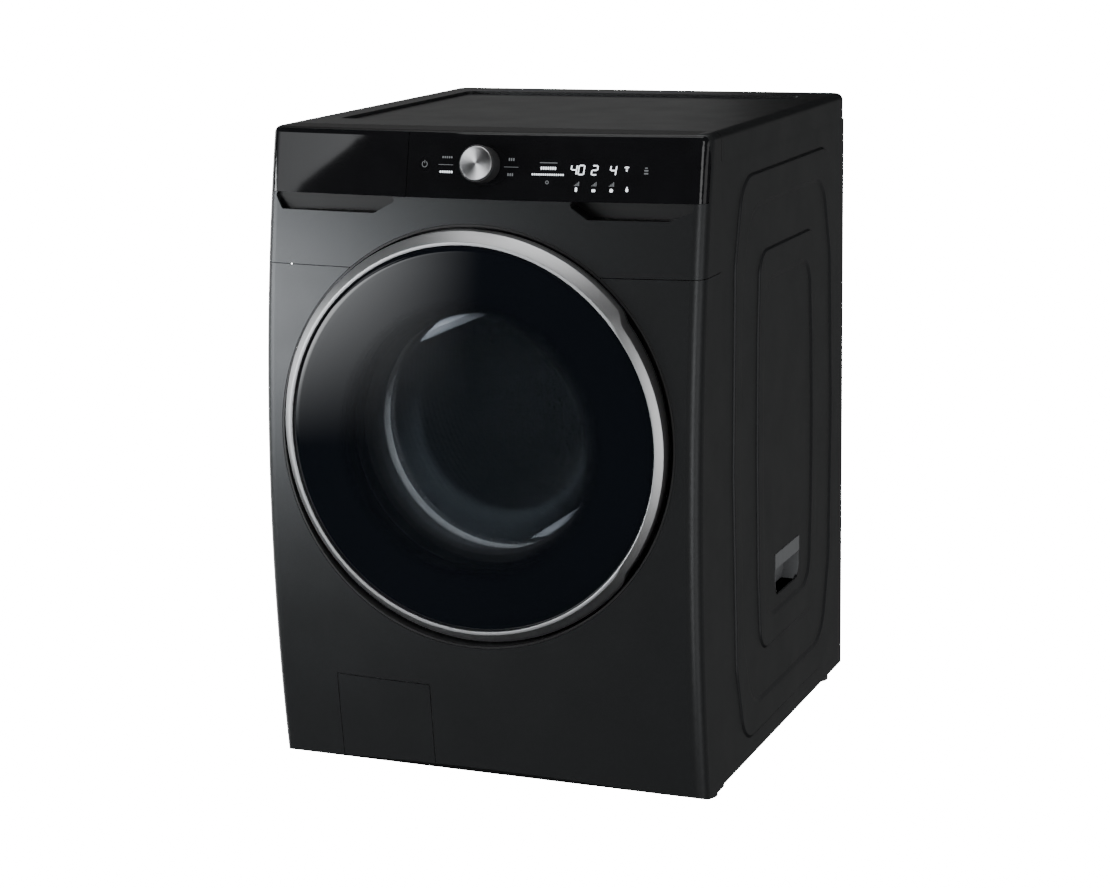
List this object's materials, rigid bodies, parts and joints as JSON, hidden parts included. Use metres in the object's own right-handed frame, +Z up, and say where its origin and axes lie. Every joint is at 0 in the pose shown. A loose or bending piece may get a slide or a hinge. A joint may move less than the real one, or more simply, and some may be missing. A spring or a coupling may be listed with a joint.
{
  "type": "front load washing machine",
  "caption": "Front-loading washing machine with a large round glass door, detergent drawer, control dial, finger recesses and levelling feet.",
  "frame": {"origin": "centre of the bounding box on the floor, under the levelling feet", "axes": "+X to the right seen from the front, +Y to the back, +Z up"},
  "size_m": [0.686, 0.796, 0.984],
  "materials": {
    "graphite_paint": "satin metallic",
    "fascia_gloss": "gloss",
    "display_black": "gloss",
    "knob_black": "satin",
    "brushed_aluminium": "brushed",
    "ring_silver": "satin",
    "tinted_glass": "gloss",
    "clear_glass": "gloss",
    "black_plastic": "matte",
    "grip_plastic": "matte",
    "white_plastic": "matte",
    "lifter_plastic": "satin",
    "rubber_grey": "matte",
    "foot_black": "matte",
    "stainless": "brushed",
    "cast_aluminium": "cast",
    "zinc_steel": "zinc plated",
    "concrete": "rough"
  },
  "bodies": {
    "cabinet": {"base_frame": "zinc_steel", "bellows": "rubber_grey", "control_frame": "graphite_paint", "cord_gland": "black_plastic", "damper_cylinders": "zinc_steel", "display_module": "display_black", "door_lock": "black_plastic", "door_surround": "black_plastic", "drain_outlet": "black_plastic", "drain_pump": "white_plastic", "drawer_housing": "white_plastic", "fascia_glass": "fascia_gloss", "fasteners": "zinc_steel", "front_panel": "graphite_paint", "hinge_bracket": "zinc_steel", "inlet_valve": "white_plastic", "rear_cover": "zinc_steel", "rear_panel": "zinc_steel", "side_grip_left": "grip_plastic", "side_grip_right": "grip_plastic", "side_panel_left": "graphite_paint", "side_panel_right": "graphite_paint", "spring_rail": "zinc_steel", "springs": "zinc_steel", "top_cover": "graphite_paint", "top_inset": "graphite_paint", "transit_caps": "black_plastic"},
    "door": {"door_ring": "ring_silver", "door_handle": "ring_silver", "door_glass": "tinted_glass", "door_frame": "black_plastic", "door_bowl": "clear_glass", "hinge_leaf": "zinc_steel"},
    "latch": {"latch_hook": "black_plastic"},
    "drawer": {"drawer_tray": "white_plastic", "siphon_cap": "white_plastic", "drawer_front": "fascia_gloss"},
    "dial": {"dial_knob": "knob_black", "dial_cap": "brushed_aluminium"},
    "power": {"power_button": "fascia_gloss"},
    "flap": {"filter_flap": "graphite_paint"},
    "filter": {"pump_filter": "white_plastic"},
    "tub": {"tub_front": "white_plastic", "tub_rear": "white_plastic", "counterweight_upper": "concrete", "counterweight_front": "concrete", "motor": "cast_aluminium", "drive_belt": "rubber_grey", "bearings": "zinc_steel", "damper_rods": "zinc_steel"},
    "drum": {"drum_shell": "stainless", "drum_back": "stainless", "lifters": "lifter_plastic", "drum_shaft": "cast_aluminium", "drum_pulley": "cast_aluminium"},
    "rotor": {"motor_pulley": "zinc_steel"},
    "foot_front_left": {"foot_front_left": "foot_black"},
    "foot_front_right": {"foot_front_right": "foot_black"},
    "foot_rear_left": {"foot_rear_left": "foot_black"},
    "foot_rear_right": {"foot_rear_right": "foot_black"}
  },
  "joints": [
    {"name": "door_hinge", "type": "hinge", "parent": "cabinet", "child": "door", "pos_m": [-0.28, -0.377, 0.545], "axis": [0, 0, -1], "range_deg": [0, 105]},
    {"name": "latch_pivot", "type": "hinge", "parent": "door", "child": "latch", "pos_m": [0.262, -0.36, 0.545], "axis": [0, 0, -1], "range_deg": [0, 4], "stiffness_Nm_per_rad": 0.6, "springref_deg": -5.73},
    {"name": "drawer_slide", "type": "slide", "parent": "cabinet", "child": "drawer", "axis": [0, -1, 0], "range_m": [0, 0.22]},
    {"name": "dial_turn", "type": "hinge", "parent": "cabinet", "child": "dial", "pos_m": [0.014, -0.34, 0.938], "axis": [0, -0.9805, 0.1965], "continuous": true},
    {"name": "power_press", "type": "slide", "parent": "cabinet", "child": "power", "axis": [0, 1, 0], "range_m": [0, 0.0012], "stiffness_N_per_m": 900, "springref_m": -0.001},
    {"name": "flap_hinge", "type": "hinge", "parent": "cabinet", "child": "flap", "pos_m": [-0.154, 0, 0.038], "axis": [1, 0, 0], "range_deg": [0, 85]},
    {"name": "filter_turn", "type": "hinge", "parent": "cabinet", "child": "filter", "pos_m": [-0.154, -0.315, 0.104], "axis": [0, -1, 0], "range_deg": [-360, 0]},
    {"name": "suspension", "type": "slide", "parent": "cabinet", "child": "tub", "axis": [0, 0, 1], "range_m": [-0.012, 0.012], "stiffness_N_per_m": 30000, "springref_m": 0.0131, "deforming": ["springs", "bellows"]},
    {"name": "drum_spin", "type": "hinge", "parent": "tub", "child": "drum", "pos_m": [0, 0, 0.545], "axis": [0, -1, 0], "continuous": true},
    {"name": "motor_spin", "type": "hinge", "parent": "tub", "child": "rotor", "pos_m": [0.04, 0.25, 0.168], "axis": [0, -1, 0], "continuous": true},
    {"name": "level_front_left", "type": "slide", "parent": "cabinet", "child": "foot_front_left", "axis": [0, 0, -1], "range_m": [0, 0.012]},
    {"name": "level_front_right", "type": "slide", "parent": "cabinet", "child": "foot_front_right", "axis": [0, 0, -1], "range_m": [0, 0.012]},
    {"name": "level_rear_left", "type": "slide", "parent": "cabinet", "child": "foot_rear_left", "axis": [0, 0, -1], "range_m": [0, 0.012]},
    {"name": "level_rear_right", "type": "slide", "parent": "cabinet", "child": "foot_rear_right", "axis": [0, 0, -1], "range_m": [0, 0.012]}
  ],
  "couplings": [
    {"joint": "motor_spin", "follows": "drum_spin", "ratio": 10}
  ]
}
